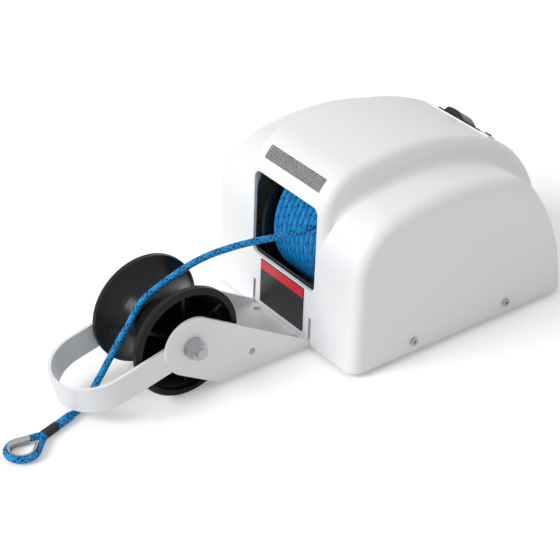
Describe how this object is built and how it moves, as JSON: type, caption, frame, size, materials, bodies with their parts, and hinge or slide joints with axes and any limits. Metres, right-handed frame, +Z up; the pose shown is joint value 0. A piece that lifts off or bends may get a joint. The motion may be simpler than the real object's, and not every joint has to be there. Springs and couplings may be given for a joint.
{
  "type": "anchor windlass",
  "caption": "Electric drum anchor windlass: moulded housing over a rope drum and gear train, with a bow roller, guard loop and a rope that ends in a thimble.",
  "frame": {"origin": "middle of the four mounting holes, level with the underside of the rubber pads (the deck)", "axes": "-Y is the front, where the rope leaves over the bow roller; +Y is the housing's back; +X is the side of the gear train; +Z is up"},
  "size_m": [0.2212, 0.5749, 0.1829],
  "materials": {
    "white_shell": "smooth semi-gloss moulded plastic",
    "white_paint": "baked gloss paint on folded steel",
    "bare_deck": "grey paint on steel sheet",
    "black_moulding": "satin moulded plastic",
    "black_gloss": "glossy black plastic",
    "charcoal_moulding": "matte moulded plastic",
    "black_rubber": "matte rubber",
    "clear_lens": "ribbed clear plastic",
    "board": "printed board with solder mask",
    "plate_enamel": "dark enamel plate with a plain red band",
    "zinc": "zinc plated",
    "steel": "bare machined steel",
    "cast": "die-cast",
    "bronze": "sintered bronze",
    "nylon": "natural nylon",
    "rope": "braided rope, blue with dark flecks",
    "whipping": "black shrink sleeve with a woven surface"
  },
  "bodies": {
    "body": {"cover": "white_shell", "cover_screws": "zinc", "light_lens": "clear_lens", "light_board": "board", "front_plate": "plate_enamel", "switch_panel": "white_shell", "switch_body": "black_moulding", "rocker_pin": "steel", "breaker_body": "black_moulding", "breaker_nut": "zinc", "cable_grommet": "black_rubber", "base_plate": "bare_deck", "rubber_pads": "black_rubber", "frame_plate_left": "zinc", "frame_plate_right": "zinc", "frame_screws": "zinc", "tie_rods": "steel", "tie_rod_screws": "zinc", "rope_guide": "charcoal_moulding", "roller_bracket": "white_paint", "guard_loop": "white_paint", "bracket_bolts": "zinc", "bracket_nuts": "zinc", "roller_bolt": "zinc", "roller_washers": "zinc", "roller_nut": "zinc", "shaft_bushes": "bronze", "gear_pin": "steel", "gear_ring": "steel", "gearhead": "cast", "motor": "steel", "gearhead_screws": "zinc", "control_relay": "black_moulding", "terminal_block": "nylon", "anchor_rope": "rope", "rope_splice": "rope", "whipping_sleeve": "whipping", "rope_eye": "rope", "thimble": "steel"},
    "drum": {"drum": "black_moulding", "rope_pack": "rope", "drum_shaft": "steel", "drum_gear": "nylon", "shaft_ring": "steel"},
    "roller": {"bow_roller": "black_moulding", "roller_bush": "nylon"},
    "idler": {"compound_gear": "nylon"},
    "pinion": {"motor_pinion": "steel"},
    "rocker": {"switch_rocker": "black_gloss"},
    "button": {"breaker_button": "black_gloss"}
  },
  "joints": [
    {"name": "drum_spin", "type": "hinge", "parent": "body", "child": "drum", "pos_m": [0, -0.045, 0.0855], "axis": [1, 0, 0], "continuous": true},
    {"name": "idler_spin", "type": "hinge", "parent": "body", "child": "idler", "pos_m": [0, 0.02088, 0.06498], "axis": [1, 0, 0], "continuous": true},
    {"name": "pinion_spin", "type": "hinge", "parent": "body", "child": "pinion", "pos_m": [0, 0.06384, 0.0516], "axis": [1, 0, 0], "continuous": true},
    {"name": "roller_spin", "type": "hinge", "parent": "body", "child": "roller", "pos_m": [0, -0.2517, 0.0537], "axis": [1, 0, 0], "continuous": true},
    {"name": "rocker_tilt", "type": "hinge", "parent": "body", "child": "rocker", "pos_m": [-0.014, 0.09389, 0.14033], "axis": [0, -0.788, 0.6157], "range_deg": [0, 20]},
    {"name": "button_slide", "type": "slide", "parent": "body", "child": "button", "axis": [0, 0.6157, 0.788], "range_m": [0, 0.003]}
  ],
  "couplings": [
    {"joint": "idler_spin", "follows": "drum_spin", "ratio": -4.3077},
    {"joint": "pinion_spin", "follows": "drum_spin", "ratio": 17.231}
  ]
}
